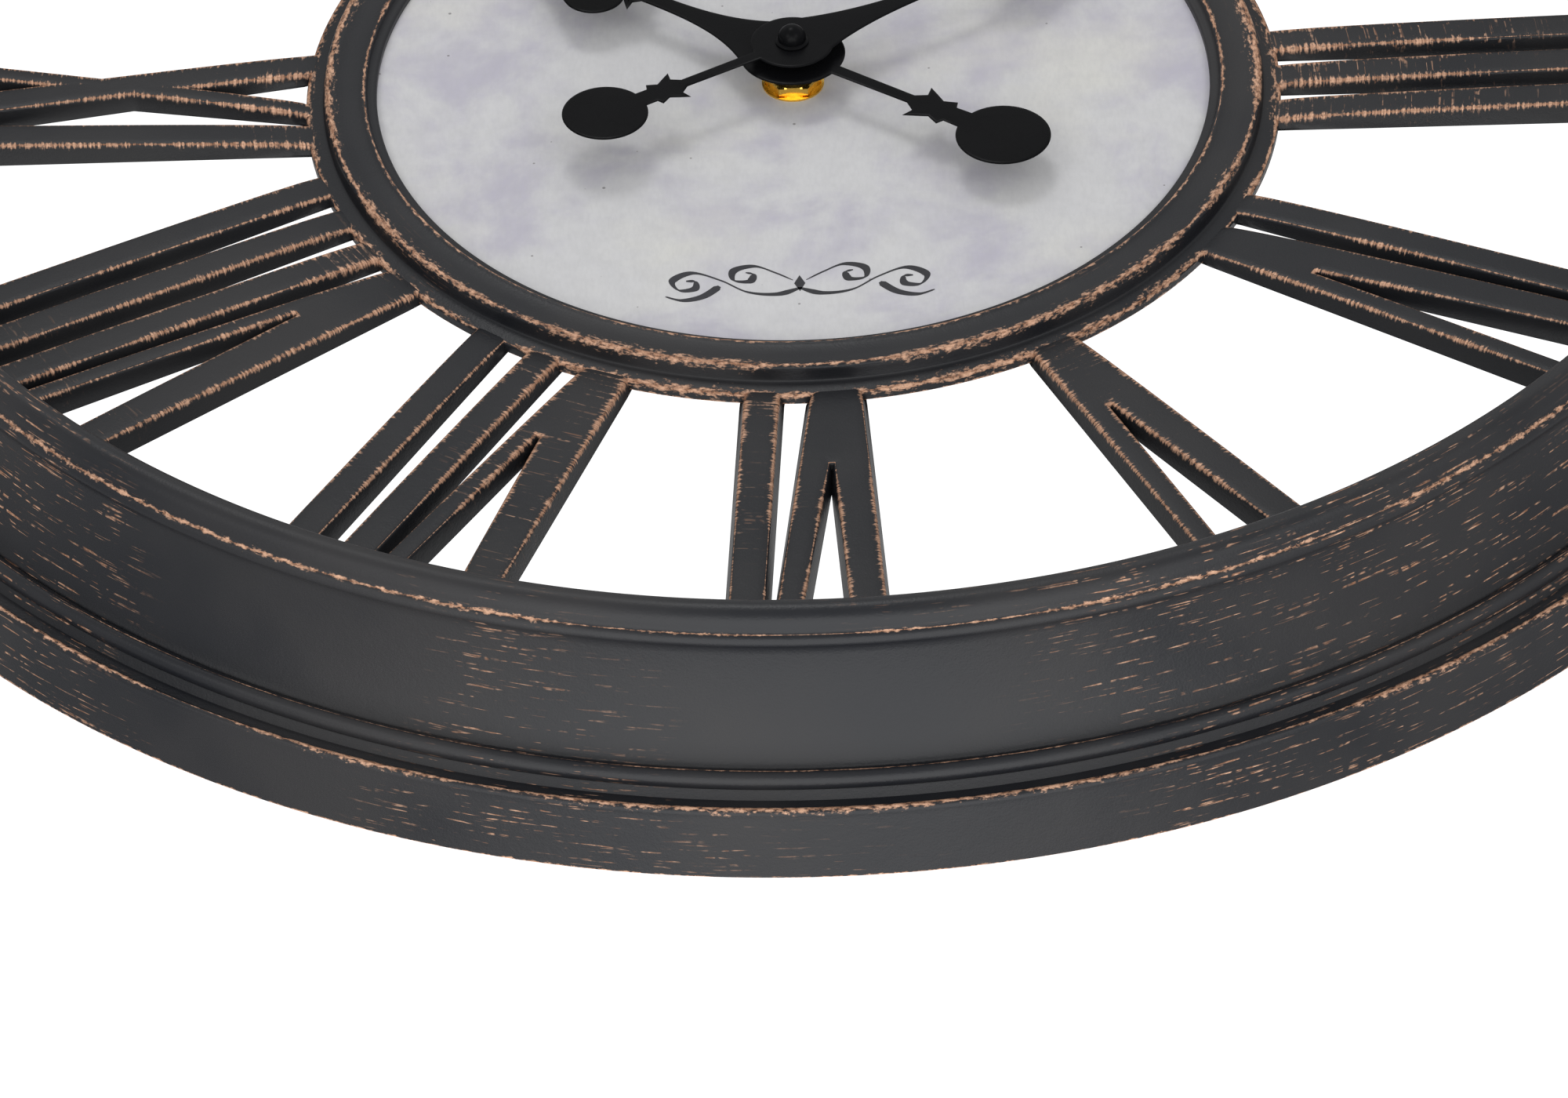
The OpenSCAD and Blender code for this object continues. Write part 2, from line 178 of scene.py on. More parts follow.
def blendColour(tree, factor, first, second):
    node = addNode(tree, "ShaderNodeMix", data_type="RGBA", clamp_factor=True)
    feed(tree, node.inputs[0], factor)
    feed(tree, node.inputs[6], first)
    feed(tree, node.inputs[7], second)
    return node.outputs[2]


def noise(tree, vector, scale, detail=2.0, roughness=0.55, distortion=0.0):
    node = addNode(tree, "ShaderNodeTexNoise")
    feed(tree, node.inputs["Vector"], vector)
    node.inputs["Scale"].default_value = scale
    node.inputs["Detail"].default_value = detail
    node.inputs["Roughness"].default_value = roughness
    node.inputs["Distortion"].default_value = distortion
    return node.outputs[0]


def objectPoint(tree):
    return addNode(tree, "ShaderNodeTexCoord").outputs["Object"]


def scaled(tree, vector, x, y, z):
    node = addNode(tree, "ShaderNodeVectorMath", operation="MULTIPLY")
    feed(tree, node.inputs[0], vector)
    node.inputs[1].default_value = (x, y, z)
    return node.outputs[0]


def meshValue(tree, label):
    return addNode(tree, "ShaderNodeAttribute", attribute_name=label).outputs["Fac"]


def joinVector(tree, x, y, z):
    node = addNode(tree, "ShaderNodeCombineXYZ")
    for socket, value in zip(node.inputs, (x, y, z)):
        feed(tree, socket, value)
    return node.outputs[0]


def bumpNormal(tree, height, strength, distance=0.001):
    node = addNode(tree, "ShaderNodeBump")
    node.inputs["Strength"].default_value = strength
    node.inputs["Distance"].default_value = distance
    feed(tree, node.inputs["Height"], height)
    return node.outputs[0]


def shaderGroup(name, inputs, outputs):
    group = bpy.data.node_groups.new(name, "ShaderNodeTree")
    for label, kind, value in inputs:
        socket = group.interface.new_socket(label, in_out="INPUT", socket_type=kind)
        if value is not None:
            socket.default_value = value
    for label, kind in outputs:
        group.interface.new_socket(label, in_out="OUTPUT", socket_type=kind)
    return group, addNode(group, "NodeGroupInput"), addNode(group, "NodeGroupOutput")


def useGroup(tree, group, **values):
    node = addNode(tree, "ShaderNodeGroup", node_tree=group)
    for label, value in values.items():
        feed(tree, node.inputs[label], value)
    return node


def freshMaterial(name, viewColour):
    material = bpy.data.materials.new(name)
    material.use_nodes = True
    material.diffuse_color = viewColour
    tree = material.node_tree
    tree.nodes.clear()
    shader = addNode(tree, "ShaderNodeBsdfPrincipled")
    output = addNode(tree, "ShaderNodeOutputMaterial")
    tree.links.new(shader.outputs[0], output.inputs[0])
    return material, tree, shader


def makeRubbedEdge():
    # Paint brushed back to the copper undercoat: strongest on an arris, with a ragged fringe
    group, given, result = shaderGroup(
        "rubbedEdge",
        [("Gap", "NodeSocketFloat", 10.0), ("Streak", "NodeSocketVector", None),
         ("Point", "NodeSocketVector", None), ("Spread", "NodeSocketFloat", 1.5),
         ("Cover", "NodeSocketFloat", 0.5)],
        [("Wear", "NodeSocketFloat"), ("Tint", "NodeSocketFloat")])
    source = given.outputs
    fringe = noise(group, source["Streak"], 1.0, 4.0, 0.65)
    patch = noise(group, source["Point"], 24.0, 2.0, 0.5)
    fine = noise(group, source["Point"], 900.0, 2.0, 0.6)
    level = calc(group, "SUBTRACT", 0.95, source["Cover"])
    strength = fade(group, patch, calc(group, "SUBTRACT", level, 0.16),
                    calc(group, "ADD", level, 0.1), 0.1, 1.0)
    raggedness = fade(group, fringe, 0.36, 0.68, 0.02, 1.9, soft=False)
    reach = calc(group, "MULTIPLY", calc(group, "MULTIPLY", source["Spread"], strength), raggedness)
    reach = calc(group, "MULTIPLY", reach, fade(group, fine, 0.3, 0.7, 0.7, 1.3, soft=False))
    near = fade(group, source["Gap"], calc(group, "MULTIPLY", reach, 0.2), reach, 1.0, 0.0)
    wear = calc(group, "MULTIPLY", near, fade(group, fine, 0.3, 0.5, 0.35, 1.0), clamp=True)
    group.links.new(wear, result.inputs["Wear"])
    group.links.new(fringe, result.inputs["Tint"])
    return group


def makeBrushDashes():
    # Short copper dashes in patches, where a dry brush ran along the moulding
    group, given, result = shaderGroup(
        "brushDashes",
        [("Streak", "NodeSocketVector", None), ("Point", "NodeSocketVector", None),
         ("Amount", "NodeSocketFloat", 0.5)],
        [("Wear", "NodeSocketFloat")])
    source = given.outputs
    dash = noise(group, source["Streak"], 1.0, 2.0, 0.5)
    patch = noise(group, source["Point"], 9.0, 3.0, 0.6)
    broken = noise(group, source["Point"], 420.0, 1.0, 0.5)
    where = fade(group, patch, calc(group, "SUBTRACT", 0.86, source["Amount"]),
                 calc(group, "SUBTRACT", 1.06, source["Amount"]))
    line = fade(group, dash, 0.60, 0.68)
    wear = calc(group, "MULTIPLY", line, where)
    wear = calc(group, "MULTIPLY", wear, fade(group, broken, 0.4, 0.56), clamp=True)
    group.links.new(wear, result.inputs["Wear"])
    return group


def makePaintGrain():
    # Fine sprayed grain and slow clouding of a coat of paint or a moulded skin
    group, given, result = shaderGroup(
        "paintGrain",
        [("Point", "NodeSocketVector", None), ("Size", "NodeSocketFloat", 1.0)],
        [("Height", "NodeSocketFloat"), ("Cloud", "NodeSocketFloat")])
    source = given.outputs
    stretched = addNode(group, "ShaderNodeVectorMath", operation="SCALE")
    group.links.new(source["Point"], stretched.inputs[0])
    group.links.new(source["Size"], stretched.inputs["Scale"])
    grain = noise(group, stretched.outputs[0], 1500.0, 2.0, 0.6)
    orange = noise(group, stretched.outputs[0], 320.0, 1.0, 0.5)
    cloud = noise(group, source["Point"], 13.0, 3.0, 0.55)
    height = calc(group, "ADD", calc(group, "MULTIPLY", grain, 0.55),
                  calc(group, "MULTIPLY", orange, 0.45))
    group.links.new(height, result.inputs["Height"])
    group.links.new(cloud, result.inputs["Cloud"])
    return group


rubbedEdge = makeRubbedEdge()
brushDashes = makeBrushDashes()
paintGrain = makePaintGrain()
print("shared effects built")


agedPaint = {
    "dark": (0.0105, 0.0115, 0.0145, 1), "light": (0.023, 0.0225, 0.024, 1),
    "copperDeep": (0.26, 0.125, 0.070, 1), "copperPale": (0.68, 0.41, 0.275, 1),
    "roughness": 0.40, "specular": 0.30}


def paintShader(tree, shader, wear, tint, cloud, height, paintedShade=None):
    paint = blendColour(tree, fade(tree, cloud, 0.3, 0.7), agedPaint["dark"], agedPaint["light"])
    # Painted shade: where a shade amount is given, the paint is blended towards near-black, standing in
    # for shade on the surface
    if paintedShade is not None:
        paint = blendColour(tree, paintedShade, paint, (0.006, 0.006, 0.0065, 1))
    copper = blendColour(tree, fade(tree, tint, 0.38, 0.66), agedPaint["copperDeep"],
                         agedPaint["copperPale"])
    feed(tree, shader.inputs["Base Color"], blendColour(tree, wear, paint, copper))
    shader.inputs["Specular IOR Level"].default_value = agedPaint["specular"]
    rough = calc(tree, "ADD", agedPaint["roughness"], fade(tree, cloud, 0.3, 0.7, -0.05, 0.07))
    rough = calc(tree, "ADD", rough, calc(tree, "MULTIPLY", wear, 0.08))
    feed(tree, shader.inputs["Roughness"], rough)
    feed(tree, shader.inputs["Metallic"], calc(tree, "MULTIPLY", wear, 0.35))
    lift = calc(tree, "SUBTRACT", height, calc(tree, "MULTIPLY", wear, 0.5))
    feed(tree, shader.inputs["Normal"], bumpNormal(tree, lift, 0.32, 0.00035))


def makeMouldingPaint(name, spread, cover, dashes):
    # For turned pieces: streaks run round the clock, since "across" changes only outwards
    material, tree, shader = freshMaterial(name, (0.03, 0.03, 0.035, 1))
    point = objectPoint(tree)
    apart = addNode(tree, "ShaderNodeSeparateXYZ")
    tree.links.new(point, apart.inputs[0])
    across = meshValue(tree, "across")
    gap = meshValue(tree, "gap")
    x, z = apart.outputs[0], apart.outputs[2]
    slow = joinVector(tree, calc(tree, "MULTIPLY", x, 70.0), calc(tree, "MULTIPLY", across, 1.5),
                      calc(tree, "MULTIPLY", z, 70.0))
    slant = calc(tree, "MULTIPLY", across, 0.9)
    brisk = joinVector(tree, calc(tree, "MULTIPLY", x, 420.0), slant,
                       calc(tree, "MULTIPLY", z, 420.0))
    edge = useGroup(tree, rubbedEdge, Gap=gap, Streak=brisk, Point=point, Spread=spread, Cover=cover)
    lines = useGroup(tree, brushDashes, Streak=slow, Point=point, Amount=dashes)
    grain = useGroup(tree, paintGrain, Point=point, Size=1.0)
    wear = calc(tree, "MAXIMUM", edge.outputs["Wear"], lines.outputs["Wear"])
    paintShader(tree, shader, wear, edge.outputs["Tint"], grain.outputs["Cloud"],
                grain.outputs["Height"])
    return material


barWear = {
    "from": 136.0, "to": 166.0,      # distance from the hand axis over which the wear thins out
    "nearRing": 1.8, "nearRim": 1.05, "cover": 0.47, "loose": 0.36}


def makeBarPaint():
    # For the numerals: the fringe runs square to each bar's edge
    material, tree, shader = freshMaterial("rubbedBarPaint", (0.03, 0.03, 0.035, 1))
    point = objectPoint(tree)
    gap = meshValue(tree, "gap")
    along = meshValue(tree, "along")
    lane = meshValue(tree, "lane")
    away = calc(tree, "ABSOLUTE", gap)
    streak = joinVector(tree, calc(tree, "MULTIPLY", along, 1.25), calc(tree, "MULTIPLY", away, 0.2),
                        lane)
    spread = fade(tree, along, barWear["from"], barWear["to"], barWear["nearRing"],
                  barWear["nearRim"])
    edge = useGroup(tree, rubbedEdge, Gap=away, Streak=streak, Point=point, Spread=spread,
                    Cover=barWear["cover"])
    loose = useGroup(tree, brushDashes, Point=point, Amount=barWear["loose"],
                     Streak=joinVector(tree, calc(tree, "MULTIPLY", along, 1.3),
                                       calc(tree, "MULTIPLY", away, 0.35), lane))
    grain = useGroup(tree, paintGrain, Point=point, Size=1.0)
    wear = calc(tree, "MAXIMUM", edge.outputs["Wear"],
                calc(tree, "MULTIPLY", loose.outputs["Wear"], 0.7))
    # Painted shade: the side walls of the numerals are painted darker than the face, standing in for the
    # shade they get from the lights
    paintedWallShade = fade(tree, gap, -1.4, -0.3, 1.0, 0.0)
    wear = calc(tree, "MULTIPLY", wear, fade(tree, gap, -2.2, -0.2, 0.12, 1.0))
    paintShader(tree, shader, wear, edge.outputs["Tint"], grain.outputs["Cloud"],
                grain.outputs["Height"], calc(tree, "MULTIPLY", paintedWallShade, 0.45))
    return material


dialLook = {
    "paper": (0.60, 0.60, 0.61, 1), "cool": (0.47, 0.455, 0.53, 1), "warm": (0.655, 0.65, 0.61, 1),
    "speck": (0.16, 0.15, 0.15, 1), "roughness": 0.62}


def makeDialPrint():
    material, tree, shader = freshMaterial("dialPrint", (0.7, 0.7, 0.72, 1))
    point = objectPoint(tree)
    cloud = noise(tree, point, 26.0, 5.0, 0.62, 0.3)
    warmth = noise(tree, scaled(tree, point, 1.0, 1.0, 1.3), 17.0, 4.0, 0.6)
    mottle = noise(tree, point, 150.0, 3.0, 0.6)
    weave = noise(tree, scaled(tree, point, 1.0, 1.0, 0.35), 1100.0, 2.0, 0.6)
    base = blendColour(tree, fade(tree, cloud, 0.42, 0.66), dialLook["paper"], dialLook["cool"])
    base = blendColour(tree, fade(tree, warmth, 0.45, 0.72, 0.0, 0.75), base, dialLook["warm"])
    base = blendColour(tree, fade(tree, mottle, 0.35, 0.75, 0.0, 0.16), base, (0.40, 0.395, 0.42, 1))
    base = blendColour(tree, fade(tree, weave, 0.35, 0.7, 0.0, 0.14), base, (0.42, 0.42, 0.43, 1))
    dots = addNode(tree, "ShaderNodeTexVoronoi")
    tree.links.new(point, dots.inputs["Vector"])
    dots.inputs["Scale"].default_value = 210.0
    chosen = addNode(tree, "ShaderNodeSeparateColor")
    tree.links.new(dots.outputs["Color"], chosen.inputs[0])
    size = fade(tree, chosen.outputs[0], 0.80, 1.0, 0.0, 0.085, soft=False)
    speck = calc(tree, "MULTIPLY", fade(tree, dots.outputs["Distance"], size,
                                        calc(tree, "ADD", size, 0.03), 1.0, 0.0),
                 fade(tree, chosen.outputs[0], 0.80, 0.82, 0.0, 0.75))
    feed(tree, shader.inputs["Base Color"], blendColour(tree, speck, base, dialLook["speck"]))
    feed(tree, shader.inputs["Roughness"], fade(tree, mottle, 0.3, 0.7, 0.56, dialLook["roughness"]))
    feed(tree, shader.inputs["Normal"], bumpNormal(tree, weave, 0.12, 0.0002))
    return material


def makePlainFinish(name, colour, roughness, metallic=0.0, variation=0.2, grainSize=1.0, grain=0.15,
                    brushed=None):
    # Moulded, turned or rolled parts: slow colour change, fine grain, and a brushed direction
    material, tree, shader = freshMaterial(name, colour)
    point = objectPoint(tree)
    grainNode = useGroup(tree, paintGrain, Point=point, Size=grainSize)
    cloud, height = grainNode.outputs["Cloud"], grainNode.outputs["Height"]
    darker = tuple(c * (1 - variation) for c in colour[:3]) + (1,)
    paler = tuple(min(1, c * (1 + variation)) for c in colour[:3]) + (1,)
    feed(tree, shader.inputs["Base Color"],
         blendColour(tree, fade(tree, cloud, 0.3, 0.7), darker, paler))
    if brushed:
        height = noise(tree, scaled(tree, point, *brushed), 1.0, 3.0, 0.6)
    feed(tree, shader.inputs["Roughness"],
         calc(tree, "ADD", roughness, fade(tree, height, 0.3, 0.7, -0.06, 0.08)))
    shader.inputs["Metallic"].default_value = metallic
    feed(tree, shader.inputs["Normal"], bumpNormal(tree, height, grain, 0.0003))
    return material


def makeHardboard():
    material, tree, shader = freshMaterial("hardboardBack", (0.25, 0.17, 0.09, 1))
    point = objectPoint(tree)
    fibre = noise(tree, scaled(tree, point, 900.0, 900.0, 260.0), 1.0, 4.0, 0.7, 0.6)
    patch = noise(tree, point, 30.0, 3.0, 0.6)
    base = blendColour(tree, fade(tree, fibre, 0.35, 0.68), (0.11, 0.062, 0.030, 1),
                       (0.27, 0.165, 0.085, 1))
    base = blendColour(tree, fade(tree, patch, 0.4, 0.7, 0.0, 0.5), base, (0.19, 0.12, 0.065, 1))
    feed(tree, shader.inputs["Base Color"], base)
    feed(tree, shader.inputs["Roughness"], fade(tree, fibre, 0.3, 0.7, 0.62, 0.85))
    feed(tree, shader.inputs["Normal"], bumpNormal(tree, fibre, 0.4, 0.0002))
    return material


def makeHandEnamel():
    # Stamped steel in satin black enamel
    material, tree, shader = freshMaterial("handEnamel", (0.01, 0.01, 0.012, 1))
    point = objectPoint(tree)
    grain = useGroup(tree, paintGrain, Point=point, Size=0.8)
    feed(tree, shader.inputs["Base Color"],
         blendColour(tree, fade(tree, grain.outputs["Cloud"], 0.3, 0.7), (0.0022, 0.0023, 0.0027, 1),
                     (0.0042, 0.0043, 0.0050, 1)))
    feed(tree, shader.inputs["Roughness"], fade(tree, grain.outputs["Height"], 0.35, 0.65, 0.27, 0.34))
    shader.inputs["Specular IOR Level"].default_value = 0.07
    feed(tree, shader.inputs["Normal"], bumpNormal(tree, grain.outputs["Height"], 0.06, 0.0002))
    return material


def makeWinding():
    material, tree, shader = freshMaterial("copperWinding", (0.5, 0.2, 0.08, 1))
    point = objectPoint(tree)
    turns = addNode(tree, "ShaderNodeTexWave", bands_direction="Z")
    tree.links.new(point, turns.inputs["Vector"])
    turns.inputs["Scale"].default_value = 1250.0
    turns.inputs["Distortion"].default_value = 0.4
    feed(tree, shader.inputs["Base Color"], blendColour(tree, turns.outputs["Fac"],
         (0.17, 0.055, 0.02, 1), (0.56, 0.24, 0.10, 1)))
    shader.inputs["Metallic"].default_value = 0.7
    shader.inputs["Roughness"].default_value = 0.36
    feed(tree, shader.inputs["Normal"], bumpNormal(tree, turns.outputs["Fac"], 0.5, 0.0001))
    return material


finish = {
    "rim": makeMouldingPaint("rubbedRimPaint", 1.0, 0.47, 0.46),
    "ring": makeMouldingPaint("rubbedRingPaint", 1.6, 0.47, 0.30),
    "bar": makeBarPaint(),
    "dial": makeDialPrint(),
    "ink": makePlainFinish("dialInk", (0.012, 0.012, 0.018, 1), 0.5, 0, 0.3, 1.0, 0.05),
    "hand": makeHandEnamel(),
    "hardboard": makeHardboard(),
    "brass": makePlainFinish("turnedBrass", (0.83, 0.52, 0.10, 1), 0.22, 1.0, 0.12, 1.2, 0.08),
    "zinc": makePlainFinish("zincPlate", (0.52, 0.53, 0.55, 1), 0.34, 0.95, 0.14, 0.7, 0.12,
                            (300.0, 300.0, 2600.0)),
    "case": makePlainFinish("mouldedCase", (0.014, 0.014, 0.015, 1), 0.46, 0, 0.25, 0.9, 0.3),
    "cover": makePlainFinish("clearGreyCover", (0.55, 0.54, 0.50, 1), 0.42, 0, 0.07, 0.8, 0.15),
    "wheel": makePlainFinish("acetalWheel", (0.72, 0.70, 0.64, 1), 0.38, 0, 0.05, 1.0, 0.08),
    "rubber": makePlainFinish("rubberWasher", (0.016, 0.016, 0.017, 1), 0.8, 0, 0.25, 1.0, 0.4),
    "board": makePlainFinish("circuitBoard", (0.03, 0.13, 0.055, 1), 0.4, 0, 0.2, 0.6, 0.2),
    "steel": makePlainFinish("laminatedSteel", (0.36, 0.37, 0.39, 1), 0.4, 0.9, 0.2, 0.7, 0.12,
                             (2600.0, 400.0, 400.0)),
    "sleeve": makePlainFinish("batterySleeve", (0.03, 0.085, 0.05, 1), 0.33, 0.1, 0.18, 0.7, 0.08),
    "winding": makeWinding(),
}
print("finishes built")


rimSize = boxSpan("outer_frame")
rim = {
    "radius": rimSize["out"],        # at the wall
    "steps": 360,                    # facets round the clock
    "pointSpacing": 1.3,
    "topBead": (33.0, 56.6, 4.8),    # inwards from the radius, height, bead radius
    "smallBead": (28.2, 54.0, 2.2),
    "thinBead": (13.3, 20.9, 2.6),
    "ribCount": 24,
    "ribThickness": 1.8,
    "bossSide": 19.0,                # hanger bosses, left and right of twelve
    "bossIn": 19.0,
    "innerWall": 35.5,               # inwards from the radius to the wall that holds the numerals
    "innerFoot": 8.0,                # height of that wall's foot
}


def inward(points, radius):
    return [(radius - p[0], p[1]) for p in points]


def makeRim():
    bead, thin = rim["topBead"], rim["thinBead"]
    section = [(0, 0), (3.2, 17.6)] + arcPoints((4.5, 17.7), 1.3, 175, 20, 7)
    section += [(6.0, 17.15), (9.8, 17.0)] + arcPoints(thin[:2], thin[2], 228, -6, 18)
    section += curvePoints((16.2, 21.7), (20.2, 23.8), (25, 41), (26.3, 51.4), 20)
    section += arcPoints(rim["smallBead"][:2], rim["smallBead"][2], 206, 108, 9)
    section += [(28.0, 56.5)] + arcPoints(bead[:2], bead[2], 171, -24, 24)
    wall, foot = rim["innerWall"], rim["innerFoot"]
    section += [(36.9, 53.2), (35.8, 52), (wall, 49), (wall, foot), (wall - 3, foot), (wall - 3, 49)]
    section += curvePoints((30.8, 50.5), (29.2, 42), (24, 22.5), (18.5, 17.6), 10)
    section += [(16, 16.2), (10, 14), (6.6, 14.4), (3.1, 0)]
    # Arrises that lose their paint: inwards, height, and how far the wear spreads
    arrises = [(4.4, 19.0, 1.5), (27.7, 56.3, 0.75), (wall, 49, 0.2), (13.3, 23.5, 0.2),
               (0, 0, 0.4)]
    radius = rim["radius"]
    marks = [(radius - a, h, s) for a, h, s in arrises]
    piece = turnedPiece("mouldedRim", spaced(inward(section, radius), rim["pointSpacing"]),
                        rim["steps"], marks)
    tidyMesh(piece, 50)
    return settle(piece, "case", finish["rim"], ("outer_frame",))


def spreadRoundTree():
    # Copies the piece round the hand axis: a point for each copy, turned by its share
    tree = bpy.data.node_groups.new("spreadRound", "GeometryNodeTree")
    face = tree.interface
    face.new_socket("Geometry", in_out="INPUT", socket_type="NodeSocketGeometry")
    face.new_socket("Count", in_out="INPUT", socket_type="NodeSocketInt")
    face.new_socket("Start Angle", in_out="INPUT", socket_type="NodeSocketFloat")
    face.new_socket("Finish", in_out="INPUT", socket_type="NodeSocketMaterial")
    face.new_socket("Geometry", in_out="OUTPUT", socket_type="NodeSocketGeometry")
    given = addNode(tree, "NodeGroupInput")
    result = addNode(tree, "NodeGroupOutput")
    line = addNode(tree, "GeometryNodeMeshLine", mode="OFFSET")
    line.inputs["Offset"].default_value = (0, 0, 0)
    index = addNode(tree, "GeometryNodeInputIndex")
    share = calc(tree, "DIVIDE", 2 * math.pi, given.outputs["Count"])
    turn = calc(tree, "MULTIPLY_ADD", index.outputs[0], share, given.outputs["Start Angle"])
    copies = addNode(tree, "GeometryNodeInstanceOnPoints")
    real = addNode(tree, "GeometryNodeRealizeInstances")
    coat = addNode(tree, "GeometryNodeSetMaterial")
    tree.links.new(given.outputs["Count"], line.inputs["Count"])
    tree.links.new(line.outputs[0], copies.inputs["Points"])
    tree.links.new(given.outputs["Geometry"], copies.inputs["Instance"])
    tree.links.new(joinVector(tree, 0.0, turn, 0.0), copies.inputs["Rotation"])
    tree.links.new(copies.outputs[0], real.inputs[0])
    tree.links.new(real.outputs[0], coat.inputs["Geometry"])
    tree.links.new(given.outputs["Finish"], coat.inputs["Material"])
    tree.links.new(coat.outputs[0], result.inputs[0])
    return tree


def spreadRound(piece, tree, count, start, material):
    modifier = piece.modifiers.new("spreadRound", "NODES")
    modifier.node_group = tree
    ids = {item.name: item.identifier for item in tree.interface.items_tree
           if item.item_type == "SOCKET" and item.in_out == "INPUT"}
    modifier[ids["Count"]] = count
    modifier[ids["Start Angle"]] = start
    modifier[ids["Finish"]] = material
    graph = bpy.context.evaluated_depsgraph_get()
    mesh = bpy.data.meshes.new_from_object(piece.evaluated_get(graph))
    piece.modifiers.remove(modifier)
    piece.data = mesh
    return piece


def makeRibs(tree):
    outline = inward([(33.2, 10), (33.2, 44), (29.2, 37), (24.2, 25), (18.5, 18.2), (16, 16.8),
                      (10, 14.6), (6, 14.8), (2.6, 3), (10, 3)], rim["radius"])
    half = rim["ribThickness"] / 2
    soft = 0.35
    count = len(outline)
    centre = (sum(p[0] for p in outline) / count, sum(p[1] for p in outline) / count)
    vertices = []
    for side, inset in ((-half, soft), (-half + soft, 0), (half - soft, 0), (half, soft)):
        for r, h in outline:
            away = math.dist((r, h), centre)
            r2 = r + (centre[0] - r) * inset / away
            h2 = h + (centre[1] - h) * inset / away
            vertices.append(place(side, r2, h2))
    faces = [tuple(range(count)), tuple(range(3 * count, 4 * count))]
    for row in range(3):
        for k in range(count):
            n = (k + 1) % count
            faces.append((row * count + k, row * count + n, (row + 1) * count + n,
                          (row + 1) * count + k))
    piece = meshPiece("rimRibs", vertices, faces,
                      {"across": [v[2] / mm for v in vertices], "gap": [9.0] * len(vertices)})
    tidyMesh(piece, 30, 0)
    spreadRound(piece, tree, rim["ribCount"], math.pi / rim["ribCount"], finish["rim"])
    return settle(piece, "case", None, ("outer_frame",))


def roundPost(name, x, up, section, steps, sharp=35):
    # A small turned piece away from the hand axis: section of (radius, height) from pole to pole
    vertices = []
    for radius, height in section:
        for i in range(steps):
            turn = 2 * math.pi * i / steps
            vertices.append(place(x + radius * math.cos(turn), up + radius * math.sin(turn), height))
    faces = []
    for row in range(len(section) - 1):
        for i in range(steps):
            j = (i + 1) % steps
            faces.append((row * steps + i, row * steps + j, (row + 1) * steps + j,
                          (row + 1) * steps + i))
    piece = meshPiece(name, vertices, faces,
                      {"across": [v[1] / mm for v in vertices], "gap": [9.0] * len(vertices)})
    tidyMesh(piece, sharp)
    return piece


def makeBosses():
    up = rim["radius"] - rim["bossIn"]
    section = [(1.15, 12), (1.15, 2.5), (1.5, 2.2), (3.7, 2.2), (4.0, 2.6), (4.3, 12), (5.2, 18.5),
               (1.15, 18.5), (1.15, 12)]
    for side, x in (("Left", -rim["bossSide"]), ("Right", rim["bossSide"])):
        piece = roundPost("hangerBoss" + side, x, up, section, 40)
        settle(piece, "case", finish["rim"], ("outer_frame",))


makeRim()
roundTree = spreadRoundTree()
makeRibs(roundTree)
makeBosses()
print("rim made")


ringSize = boxSpan("inner_ring")
sheetSize = boxSpan("dial_sheet")
ring = {
    "radius": ringSize["out"],
    "back": ringSize["back"],
    "dialRadius": 115.0,
    "steps": 320,
    "pointSpacing": 0.8,
    "flange": 19.3,                  # height of the flange, level with the numerals
    "edge": (6.5, 23.5, 1.3),        # round edge of the band: inwards, height, radius
    "lip": 22.45,                    # height of the lip beside the dial
}


def makeRing():
    # A low flange, a step up to a wide shallow band, and a lip that steps down to the dial
    edge, radius, flange = ring["edge"], ring["radius"], ring["flange"]
    sheet, plate, plateBack = sheetSize["front"], sheetSize["back"], boxSpan("dial_plate")["back"]
    section = [(0, ring["back"]), (0, flange - 0.9)] + arcPoints((0.8, flange - 0.85), 0.8, 178, 100, 5)
    section += [(2.4, flange + 0.32), (4.2, flange + 0.68)]
    section += curvePoints((4.7, flange + 0.8), (5.05, flange + 1.1), (5.15, flange + 1.6), (5.2, 23), 5)
    section += arcPoints(edge[:2], edge[2], 176, 62, 9)
    section += curvePoints((8.2, 24.55), (10.2, 24.0), (12.6, 23.95), (14.9, 24.25), 9)
    section += curvePoints((15.4, 24.4), (15.9, 24.62), (16.3, 24.55), (16.6, 24.2), 5)
    section += curvePoints((16.75, 23.9), (16.9, 22.9), (17.2, 22.6), (17.8, 22.5), 5)
    dialIn = radius - ring["dialRadius"]
    sheetIn = radius - sheetSize["out"] - 1
    section += [(dialIn - 0.3, ring["lip"]), (dialIn, ring["lip"] - 0.3), (dialIn, sheet + 0.03),
                (sheetIn, sheet + 0.03), (sheetIn, plate)]
    edgeIn = radius - boxSpan("dial_plate")["out"] - 0.3
    section += [(edgeIn, plate), (edgeIn, plateBack), (3, plateBack), (3, ring["back"])]
    arrises = [(0.5, flange, 1.15), (6.3, 24.7, 1.35), (16.2, 24.55, 0.42), (0, ring["back"], 0.2)]
    marks = [(radius - a, h, s) for a, h, s in arrises]
    piece = turnedPiece("dialRing", spaced(inward(section, radius), ring["pointSpacing"]),
                        ring["steps"], marks)
    tidyMesh(piece, 50)
    return settle(piece, "case", finish["ring"], ("inner_ring",))


makeRing()
print("ring made")


